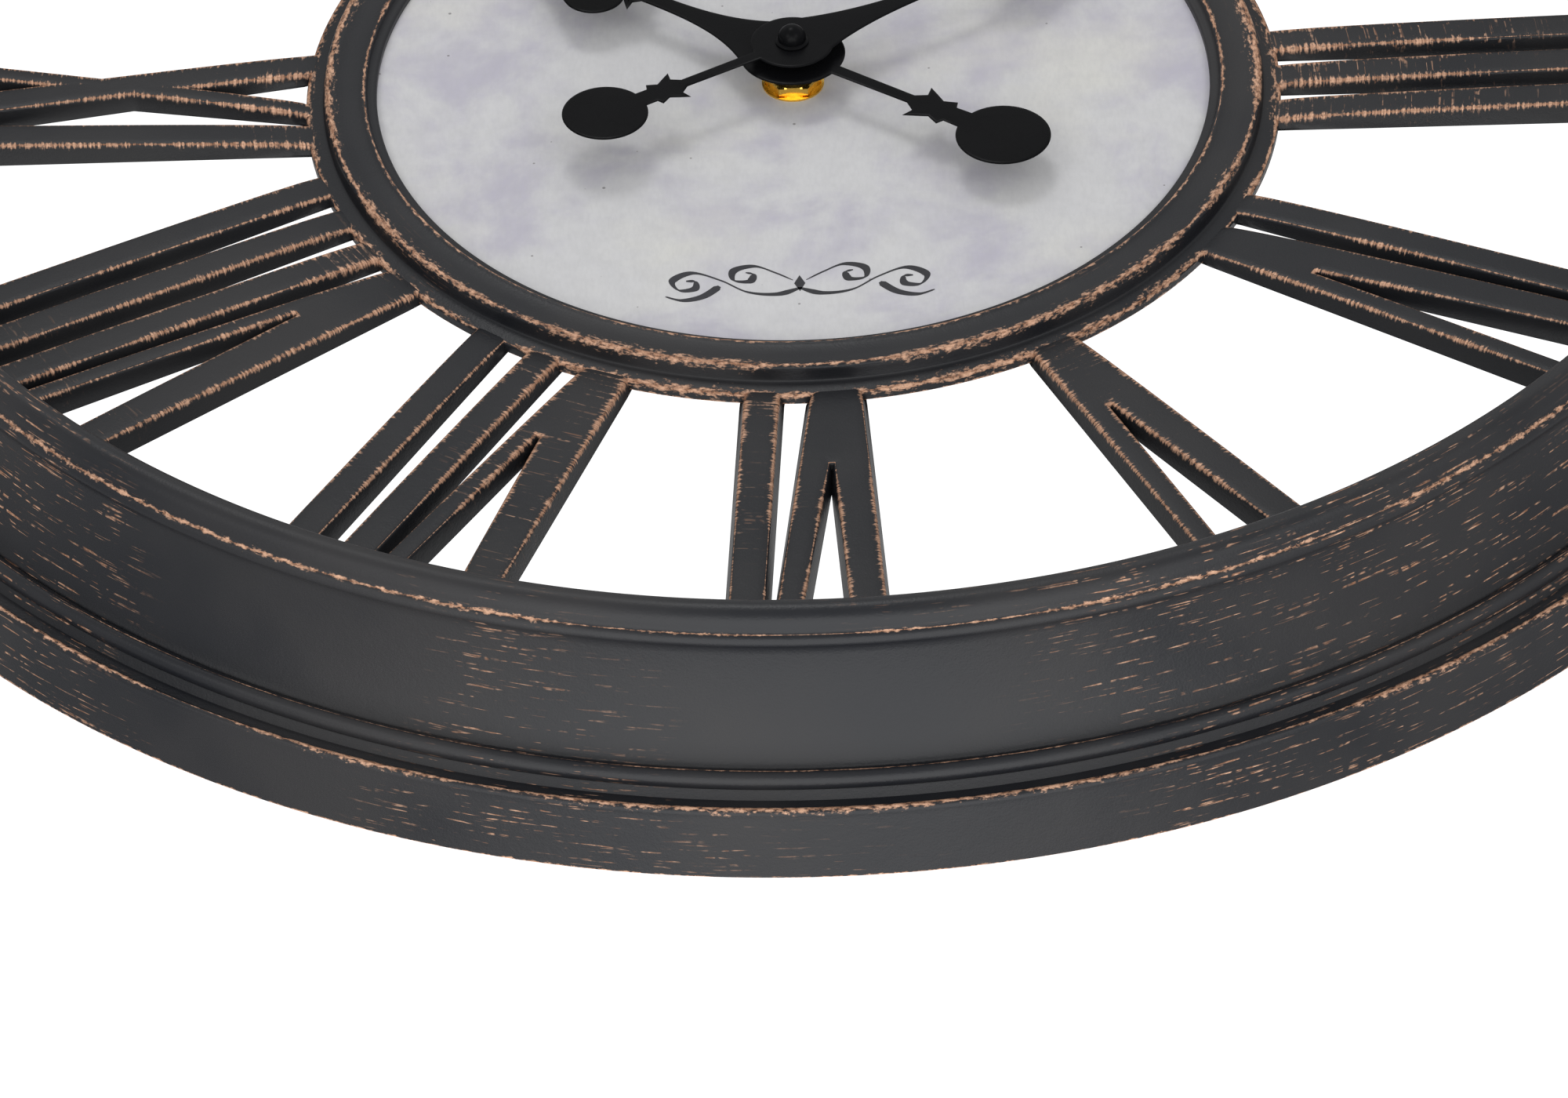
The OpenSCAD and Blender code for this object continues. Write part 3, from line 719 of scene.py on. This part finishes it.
# Widths are the face's. A bar is (place at the ring, place at the rim), clockwise of the
# numeral's own middle line; "vee" is (foot, left head, right head) and "cross" the middle.
numerals = {
    "back": ringSize["back"], "faceIn": ring["flange"], "faceOut": 23.5, "draft": 0.225,
    "barWidth": 9.4, "thick": 9.2, "thin": 5.8,
    "stationStep": 3.0, "edgeRadius": 0.9,
    "cross": (10.2, 15.0),           # half spread of a cross at the ring and at the rim
    "crotch": 30.0,                  # from the ring to the crotch of a V
}
numeralParts = {
    1: {"bars": [(0, 0)]},
    2: {"bars": [(-7.9, -7.9), (7.9, 7.9)]},
    3: {"bars": [(-14.7, -14.3), (1, 1.4), (16.7, 17.1)]},
    4: {"bars": [(-10.2, -19)], "vee": (7.4, -7.4, 21)},
    5: {"vee": (0.3, -15.2, 16.2)},
    6: {"vee": (-8.8, -17, 10.8), "bars": [(10.9, 19)]},
    7: {"vee": (-16.6, -39, -6), "bars": [(1.8, 3), (18.8, 19)]},
    8: {"vee": (-18, -38, -10), "bars": [(-1.2, 0.4), (14.6, 16.2), (30.4, 32)]},
    9: {"bars": [(-16.3, -16.3)], "cross": 5.8},
    10: {"cross": 0},
    11: {"cross": -7.6, "bars": [(14.8, 16.3)]},
    12: {"cross": -14.6, "bars": [(6.8, 8.6), (22.6, 24.4)]},
}
rimInner = rim["radius"] - rim["innerWall"]


def strokeLines(atRing, atRim, width):   # left and right edges as (place at ring, place at rim)
    return ((atRing - width / 2, atRim - width / 2), (atRing + width / 2, atRim + width / 2))


def linePoint(line, along):
    t = (along - ring["radius"] + 1.5) / (rimInner - ring["radius"] + 3.0)
    return (line[0] + (line[1] - line[0]) * t, along)


def crossing(first, second):
    span = rimInner - ring["radius"] + 3.0
    t = (second[0] - first[0]) / ((first[1] - first[0]) - (second[1] - second[0]))
    return linePoint(first, ring["radius"] - 1.5 + t * span)


def numeralOutlines(parts):
    # Each outline is its corners and, for each side, whether it is a wall (not an end)
    inner, outer = ring["radius"] - 4.5, rimInner + 1.5
    outlines = []
    for atRing, atRim in parts.get("bars", []):
        left, right = strokeLines(atRing, atRim, numerals["barWidth"])
        corners = [linePoint(left, inner), linePoint(left, outer), linePoint(right, outer),
                   linePoint(right, inner)]
        outlines.append((corners, [True, False, True, False]))
    if "vee" in parts:
        foot, leftHead, rightHead = parts["vee"]
        a0, a1 = strokeLines(foot - 2, leftHead, numerals["thick"])
        b0, b1 = strokeLines(foot + 3.8, rightHead, numerals["thin"])
        crotch, middle = ring["radius"] + numerals["crotch"], foot + 2
        corners = [linePoint(a0, inner), linePoint(a0, outer), linePoint(a1, outer),
                   (middle - 0.5, crotch), (middle + 0.5, crotch), linePoint(b0, outer),
                   linePoint(b1, outer), linePoint(b1, inner)]
        outlines.append((corners, [True, False, True, True, True, False, True, False]))
    if "cross" in parts:
        middle = parts["cross"]
        foot, head = numerals["cross"]
        a0, a1 = strokeLines(middle + foot, middle - head, numerals["thick"])
        b0, b1 = strokeLines(middle - foot, middle + head, numerals["thin"])
        corners = [linePoint(b0, inner), crossing(a0, b0), linePoint(a0, outer),
                   linePoint(a1, outer), crossing(a1, b0), linePoint(b0, outer),
                   linePoint(b1, outer), crossing(a1, b1), linePoint(a1, inner),
                   linePoint(a0, inner), crossing(a0, b1), linePoint(b1, inner)]
        walls = [True, True, False, True, True, False, True, True, False, True, True, False]
        outlines.append((corners, walls))
    return outlines


def insetOutline(corners, walls, distance):
    # Moves each wall inwards (clockwise outline, so inwards is to its right)
    moved = []
    count = len(corners)
    for i in range(count):
        before, here, after = corners[i - 1], corners[i], corners[(i + 1) % count]
        lines = []
        for start, end, wall in ((before, here, walls[i - 1]), (here, after, walls[i])):
            length = math.dist(start, end)
            normal = ((end[1] - start[1]) / length, -(end[0] - start[0]) / length)
            shift = distance if wall else 0.0
            lines.append((normal, normal[0] * here[0] + normal[1] * here[1] + shift))
        (n0, c0), (n1, c1) = lines
        det = n0[0] * n1[1] - n0[1] * n1[0]
        if abs(det) < 0.02:
            moved.append((here[0] + n0[0] * distance, here[1] + n0[1] * distance))
        else:
            moved.append(((c0 * n1[1] - c1 * n0[1]) / det, (n0[0] * c1 - n1[0] * c0) / det))
    return moved


def faceHeight(radius):
    t = max(0.0, (radius - ring["radius"]) / (rimInner - ring["radius"]))
    return numerals["faceIn"] + (numerals["faceOut"] - numerals["faceIn"]) * t ** 0.6


def barLevels():
    # From the back to the middle of the face: inset, drop below the face, and distance from
    # the arris, less than nothing on the wall
    edge, draft = numerals["edgeRadius"], numerals["draft"]
    levels = [(-draft * 5.5, None, -6.0), (-draft * 3.0, 3.0, -3.0)]
    start = -0.1
    for turn, gap in ((0, -0.7), (30, -0.35), (60, 0.0), (90, 0.5)):
        a = math.radians(turn)
        levels.append((start + edge * (1 - math.cos(a)), edge * (1 - math.sin(a)), gap))
    levels.append((2.5, -0.1, 2.2))
    return levels


def makeNumeral(hour):
    levels = barLevels()
    work = bmesh.new()
    for corners, walls in numeralOutlines(numeralParts[hour]):
        rings = []
        for row, (shift, drop, gap) in enumerate(levels):
            rings.append([work.verts.new((x, y, row))
                          for x, y in insetOutline(corners, walls, shift)])
        count = len(corners)
        for low, high in zip(rings, rings[1:]):
            for k in range(count):
                n = (k + 1) % count
                work.faces.new((low[k], low[n], high[n], high[k]))
        for cap in (rings[0], rings[-1]):
            for tri in tessellate_polygon([[v.co for v in cap]]):
                work.faces.new([cap[i] for i in tri])
    station = ring["radius"] + 1.0
    while station < rimInner - 4:
        geometry = list(work.verts) + list(work.edges) + list(work.faces)
        bmesh.ops.bisect_plane(work, geom=geometry, plane_co=(0, station, 0), plane_no=(0, 1, 0),
                               dist=0.00001)
        station += numerals["stationStep"]
    turn = math.radians(30 * hour)
    low, high = ring["radius"] - 1.2, rimInner + 1.2
    gaps, alongs, lanes = [], [], []
    for vertex in work.verts:
        x, y, row = vertex.co
        y = min(max(y, math.sqrt(low * low - x * x)), math.sqrt(high * high - x * x))
        radius = math.hypot(x, y)
        face = faceHeight(radius)
        first = min(int(row), len(levels) - 2)
        part = row - first
        ends = []
        for shift, drop, gap in levels[first:first + 2]:
            ends.append((numerals["back"] if drop is None else face - drop, gap))
        height = ends[0][0] + (ends[1][0] - ends[0][0]) * part
        gaps.append(ends[0][1] + (ends[1][1] - ends[0][1]) * part)
        alongs.append(radius)
        lanes.append(hour * 7.3 + x * 0.05)
        vertex.co = place(x * math.cos(turn) + y * math.sin(turn),
                          -x * math.sin(turn) + y * math.cos(turn), height)
    bmesh.ops.triangulate(work, faces=[f for f in work.faces if len(f.verts) > 4])
    mesh = bpy.data.meshes.new("numeral%d" % hour)
    work.to_mesh(mesh)
    work.free()
    for label, values in (("gap", gaps), ("along", alongs), ("lane", lanes)):
        mesh.attributes.new(label, "FLOAT", "POINT").data.foreach_set("value", values)
    piece = bpy.data.objects.new("numeral%d" % hour, mesh)
    bpy.context.scene.collection.objects.link(piece)
    tidyMesh(piece, 42, 0)
    return settle(piece, "case", finish["bar"], ("numeral_%d" % hour,))


for hour in numeralParts:
    makeNumeral(hour)
print("numerals made")


flourish = {
    "middle": (0.0, -87.5),
    "height": sheetSize["front"] + 0.03,
    "thickness": 0.04,
    "penAngle": 38.0,                # the nib's angle sets where the line swells
    "thin": 0.5, "thick": 2.3,
    # Right half, from the middle outwards; the left half mirrors it
    "strokes": [
        [(0.0, -3.2), (6.0, -5.6), (14.0, -4.4), (21.0, 0.8), (28.5, 4.4), (34.0, 1.4), (32.4, -2.8),
         (28.2, -2.4), (28.0, 0.6), (30.4, 1.0)],
        [(1.8, 0.2), (6.5, 3.6), (12.0, 6.6), (17.5, 5.0), (17.6, 0.8), (13.4, 0.2), (12.4, 3.0),
         (14.4, 4.0)],
        [(21.5, -1.6), (26.0, -5.8), (31.5, -7.2), (36.0, -5.4)],
    ],
}


def smoothPath(points, steps):
    ends = [points[0]] + points + [points[-1]]
    path = []
    for i in range(1, len(ends) - 2):
        a, b, c, d = (Vector(p) for p in ends[i - 1:i + 3])
        for k in range(steps):
            t = k / steps
            path.append(0.5 * (2 * b + (c - a) * t + (2 * a - 5 * b + 4 * c - d) * t * t
                               + (3 * b - a - 3 * c + d) * t * t * t))
    path.append(Vector(points[-1]))
    return path


def makeFlourish():
    vertices, faces = [], []
    low, high = flourish["height"], flourish["height"] + flourish["thickness"]
    nib = math.radians(flourish["penAngle"])
    for mirror in (1, -1):
        for stroke in flourish["strokes"]:
            path = smoothPath(stroke, 9)
            start = len(vertices)
            for i, p in enumerate(path):
                ahead = path[min(i + 1, len(path) - 1)] - path[max(i - 1, 0)]
                ahead.normalize()
                swell = abs(math.sin(math.atan2(ahead.y, ahead.x) - nib))
                share = i / (len(path) - 1)
                taper = min(1.0, 0.25 + 3.2 * math.sin(math.pi * min(0.98, max(0.02, share))))
                half = (flourish["thin"] + (flourish["thick"] - flourish["thin"]) * swell ** 1.6) / 2
                side = Vector((-ahead.y, ahead.x)) * half * taper
                for edge in (p + side, p - side):
                    x = flourish["middle"][0] + edge.x * mirror
                    up = flourish["middle"][1] + edge.y
                    vertices.append(place(x, up, low))
                    vertices.append(place(x, up, high))
            rows = len(path)
            for i in range(rows - 1):
                a = start + 4 * i
                b = a + 4
                faces += [(a, a + 1, b + 1, b), (a + 1, a + 3, b + 3, b + 1),
                          (a + 3, a + 2, b + 2, b + 3), (a + 2, a, b, b + 2)]
            last = start + 4 * (rows - 1)
            faces += [(start, start + 2, start + 3, start + 1), (last, last + 1, last + 3, last + 2)]
    # A small lozenge joins the two halves
    start = len(vertices)
    for x, up in ((0, 2.2), (1.5, -1.2), (0, -4.6), (-1.5, -1.2)):
        for height in (low, high):
            vertices.append(place(flourish["middle"][0] + x, flourish["middle"][1] + up, height))
    faces += [tuple(start + k for k in (0, 2, 4, 6)), tuple(start + k for k in (1, 3, 5, 7))]
    for k in range(4):
        n = (k + 1) % 4
        faces.append((start + 2 * k, start + 2 * n, start + 2 * n + 1, start + 2 * k + 1))
    piece = meshPiece("dialFlourish", vertices, faces)
    tidyMesh(piece, 30, 0)
    return settle(piece, "case", finish["ink"])


makeFlourish()
print("flourish made")


handSpan = boxSpan("hour_hand")
minuteSpan = boxSpan("minute_hand")
hands = {
    "hour": {"angle": 305.0, "bore": 2.3, "back": handSpan["back"], "front": handSpan["front"],
             "softEdge": 1.1, "replaces": "hour_hand"},
    "minute": {"angle": 60.0, "bore": 1.3, "back": minuteSpan["back"], "front": minuteSpan["front"],
               "softEdge": 0.9, "replaces": "minute_hand"},
}


def collarPoints(width, stem, y, size):
    return [(stem, y - size * 0.2), (width * 0.36, y + size * 0.1), (width * 0.66, y),
            (width * 0.5, y + size * 0.34), (width * 0.36, y + size * 0.62)]


def turnedOver(points):
    return [(x, -y) for x, y in reversed(points)]


def minuteSide():
    side = arcPoints((0, -59.5), 11.8, -88, 75, 30) + [(3, -44.6), (4.8, -43.8)]
    side += turnedOver(collarPoints(9.5, 1.7, 36, 8)) + arcPoints((0, 0), 11.5, -81, 45, 24)
    side += curvePoints((8.1, 8.2), (2.4, 24), (1.8, 41), (1.8, 61), 18)
    side += collarPoints(9, 1.8, 63, 6) + arcPoints((3.9, 72.3), 4.8, -88, 25, 14)
    return side + curvePoints((8.2, 74.6), (5.8, 79.5), (1.4, 91), (0.5, 105), 14)


def hourSide():
    side = arcPoints((0, -69), 13, -88, 74, 30) + [(3.4, -51.8), (5.5, -50.8)]
    side += turnedOver(collarPoints(11, 1.9, 41, 10)) + arcPoints((0, 0), 14.6, -82, 37, 24)
    side += curvePoints((11.5, 9), (3.5, 20.2), (2.5, 33.4), (2.5, 48), 18)
    side += collarPoints(12, 2.5, 50, 6) + arcPoints((7.1, 61.7), 8.6, -104, 26, 18)
    return side + curvePoints((14.7, 65.7), (10.3, 74.6), (2.6, 77.6), (0.5, 92), 14)


def cutPoints(points, least):
    kept = [points[0]]
    for p in points[1:]:
        if math.dist(p, kept[-1]) > least:
            kept.append(p)
    return kept


def makeHand(name, side, size):
    # Stamped plate: the outline rises over a soft shoulder to a flat face, round a plain bore
    right = cutPoints(side, 0.25)
    outline = [(-x, y) for x, y in right] + list(reversed(right))
    walls = [True] * len(outline)
    thick = size["front"] - size["back"]
    levels = [(0.15, 0.0), (0.0, thick * 0.25)]
    for turn in (0, 30, 60, 90):
        a = math.radians(turn)
        levels.append((size["softEdge"] * (1 - math.cos(a)), thick * (0.45 + 0.55 * math.sin(a))))
    boreSteps = 32
    bore = arcPoints((0, 0), size["bore"], 0, 360, boreSteps)[:boreSteps]
    turn = math.radians(size["angle"])
    vertices = []

    def addRing(points, height):
        start = len(vertices)
        for x, y in points:
            vertices.append(place(x * math.cos(turn) + y * math.sin(turn),
                                  -x * math.sin(turn) + y * math.cos(turn), size["back"] + height))
        return list(range(start, len(vertices)))

    rings = [addRing(insetOutline(outline, walls, shift), height) for shift, height in levels]
    boreLow, boreHigh = addRing(bore, 0.0), addRing(bore, thick)
    faces = []
    for low, high in zip(rings, rings[1:]):
        for k in range(len(low)):
            n = (k + 1) % len(low)
            faces.append((low[k], low[n], high[n], high[k]))
    for k in range(boreSteps):
        n = (k + 1) % boreSteps
        faces.append((boreLow[k], boreLow[n], boreHigh[n], boreHigh[k]))
    for outer, inner in ((rings[0], boreLow), (rings[-1], boreHigh)):
        flat = [[Vector((vertices[i][0], vertices[i][2], 0)) for i in loop]
                for loop in (outer, inner)]
        both = outer + inner
        for tri in tessellate_polygon(flat):
            faces.append(tuple(both[i] for i in tri))
    piece = meshPiece(name + "Hand", vertices, faces)
    tidyMesh(piece, 46, 0)
    return settle(piece, name, finish["hand"], (size["replaces"],))


makeHand("hour", hourSide(), hands["hour"])
makeHand("minute", minuteSide(), hands["minute"])

capNut = {"base": hands["minute"]["front"], "flange": 4.6, "dome": 3.9}


def makeCapNut():
    base = capNut["base"]
    top = boxSpan("cap_nut")["front"]
    flange, dome = capNut["flange"], capNut["dome"]
    section = [(1.3, top - 2.2), (1.3, base), (flange - 0.15, base), (flange, base + 0.2),
               (flange, base + 0.5), (flange - 0.25, base + 0.75), (dome + 0.1, base + 0.85)]
    section += arcPoints((0, top - dome), dome, -4, 90, 18)
    section += [(0.0, top - 2.2)]
    section = [(max(r, 0.0), h) for r, h in section]
    piece = turnedPiece("capNut", section, 64)
    tidyMesh(piece, 40, 0.000005)
    return settle(piece, "minute", finish["hand"], ("cap_nut",))


def makeMountingNut():
    # Hexagon nut with turned chamfers on both faces
    size = boxSpan("mounting_nut")
    low, high = size["back"], size["front"]
    bore, across, flat = 4.0, 8.0, 8.0 * math.cos(math.radians(30))
    rows = [(0.42, low), (1.0, low + 0.38), (1.0, high - 0.38), (0.42, high)]
    steps = 72
    vertices, faces = [], []
    for share, height in rows:
        for i in range(steps):
            a = 2 * math.pi * i / steps
            corner = (math.degrees(a) % 60) - 30
            hexRadius = flat / math.cos(math.radians(corner))
            radius = min(hexRadius, flat + 0.15 + (across - flat) * (share - 0.42) * 2.2)
            vertices.append(place(radius * math.cos(a), radius * math.sin(a), height))
    for height, inset in ((high, 0.25), (high - 0.3, 0.0), (low + 0.3, 0.0), (low, 0.25)):
        for i in range(steps):
            a = 2 * math.pi * i / steps
            vertices.append(place((bore + inset) * math.cos(a), (bore + inset) * math.sin(a), height))
    for row in range(8):
        for i in range(steps):
            j = (i + 1) % steps
            above = (row + 1) % 8
            faces.append((row * steps + i, row * steps + j, above * steps + j, above * steps + i))
    piece = meshPiece("mountingNut", vertices, faces)
    tidyMesh(piece, 20)
    return settle(piece, "case", finish["brass"], ("mounting_nut",))


makeCapNut()
makeMountingNut()
print("hands made")


nodeFinish = {
    "dial_sheet": "dial", "dial_plate": "hardboard", "dial_screws": "zinc", "hanger_plate": "zinc",
    "hanger_screws": "zinc", "movement_case": "case", "movement_cover": "cover",
    "circuit_board": "board", "quartz_crystal": "zinc", "coil": "winding", "stator": "steel",
    "contact_positive": "brass", "contact_negative": "brass", "battery": "sleeve",
    "rubber_washer": "rubber", "brass_washer": "brass", "cannon_pinion": "brass",
    "hour_wheel": "wheel", "minute_wheel": "wheel", "set_knob": "cover", "centre_wheel": "wheel",
    "third_wheel": "wheel", "fourth_wheel": "wheel", "fifth_wheel": "wheel", "rotor": "steel",
}
for node, look in nodeFinish.items():
    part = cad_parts[node]
    if part.material_slots:
        for holder in part.material_slots:
            holder.material = finish[look]
    else:
        part.data.materials.append(finish[look])
print("frame pieces finished")


view = {"lens": 180.0, "distance": 2.1825, "below": 37.545, "aside": -0.3,     # degrees
        "aim": (-0.0063, 0.0, -0.174), "tilt": -1.557}
studio = {                           # metres, watts and degrees
    "floorHeight": -2.05,
    "world": 0.58, "backdrop": 1.15,
    "keyPower": 11.0, "keySize": 0.8, "keyRise": 64.0, "keyAway": 2.6,
    "fillPower": 8.0, "backPower": 12.0,
    "lowPower": 45.0, "lowSize": 3.0,
}


def softLight(name, location, aim, size, power):
    lamp = bpy.data.lights.new(name, "AREA")
    lamp.shape = "DISK"
    lamp.size = size
    lamp.energy = power
    holder = bpy.data.objects.new(name, lamp)
    holder.location = location
    holder.visible_camera = False
    holder.rotation_euler = (Vector(aim) - Vector(location)).to_track_quat("-Z", "Y").to_euler()
    bpy.context.scene.collection.objects.link(holder)


def makeStage():
    floorMaterial, tree, shader = freshMaterial("paleFloor", (0.9, 0.9, 0.9, 1))
    shader.inputs["Base Color"].default_value = (0.82, 0.82, 0.82, 1)
    shader.inputs["Roughness"].default_value = 0.8
    half, height = 8.0, studio["floorHeight"]
    corners = [(-half, -half, height), (half, -half, height), (half, half, height),
               (-half, half, height)]
    floor = meshPiece("paleFloor", corners, [(0, 1, 2, 3)])
    floor.data.materials.append(floorMaterial)
    world = bpy.data.worlds.new("softWorld")
    bpy.context.scene.world = world
    world.use_nodes = True
    tree = world.node_tree
    tree.nodes.clear()
    seen = addNode(tree, "ShaderNodeLightPath").outputs["Is Camera Ray"]
    glow = addNode(tree, "ShaderNodeBackground")
    glow.inputs["Color"].default_value = (1, 1, 1, 1)
    feed(tree, glow.inputs["Strength"],
         fade(tree, seen, 0.0, 1.0, studio["world"], studio["backdrop"], soft=False))
    output = addNode(tree, "ShaderNodeOutputWorld")
    tree.links.new(glow.outputs[0], output.inputs[0])
    rise = math.radians(studio["keyRise"])
    away = studio["keyAway"]
    softLight("keyLight", (-0.25, -away * math.sin(rise), away * math.cos(rise)), (0, 0, 0),
              studio["keySize"], studio["keyPower"])
    for side, x in (("Left", -1.5), ("Right", 1.5)):
        softLight("fillLight" + side, (x, -1.9, -1.35), (0, 0, -0.1), 1.3, studio["fillPower"])
    softLight("lowLight", (0, -0.4, -1.98), (0, -0.4, 0), studio["lowSize"], studio["lowPower"])
    softLight("backLight", (1.2, 2.4, 1.2), (0, 0, 0), 1.6, studio["backPower"])


def makeCamera():
    below, aside = math.radians(view["below"]), math.radians(view["aside"])
    stand = view["distance"] * Vector((math.sin(aside) * math.cos(below), -math.sin(below),
                                       -math.cos(aside) * math.cos(below)))
    ahead = (Vector(view["aim"]) - stand).normalized()
    right = ahead.cross(Vector((0, -1, 0))).normalized()
    up = right.cross(ahead)
    tilt = math.radians(view["tilt"])
    side = right * math.cos(tilt) + up * math.sin(tilt)
    top = up * math.cos(tilt) - right * math.sin(tilt)
    camera = bpy.data.cameras.new("mainView")
    camera.lens = view["lens"]
    camera.sensor_width = 36.0
    camera.clip_end = 50.0
    holder = bpy.data.objects.new("mainView", camera)
    holder.matrix_world = Matrix.Translation(stand) @ Matrix((side, top, -ahead)).transposed().to_4x4()
    bpy.context.scene.collection.objects.link(holder)
    bpy.context.scene.camera = holder


makeStage()
makeCamera()
bpy.context.scene.view_settings.view_transform = "Standard"     # plain whites
print("stage, light and camera ready")

bpy.context.view_layer.update()
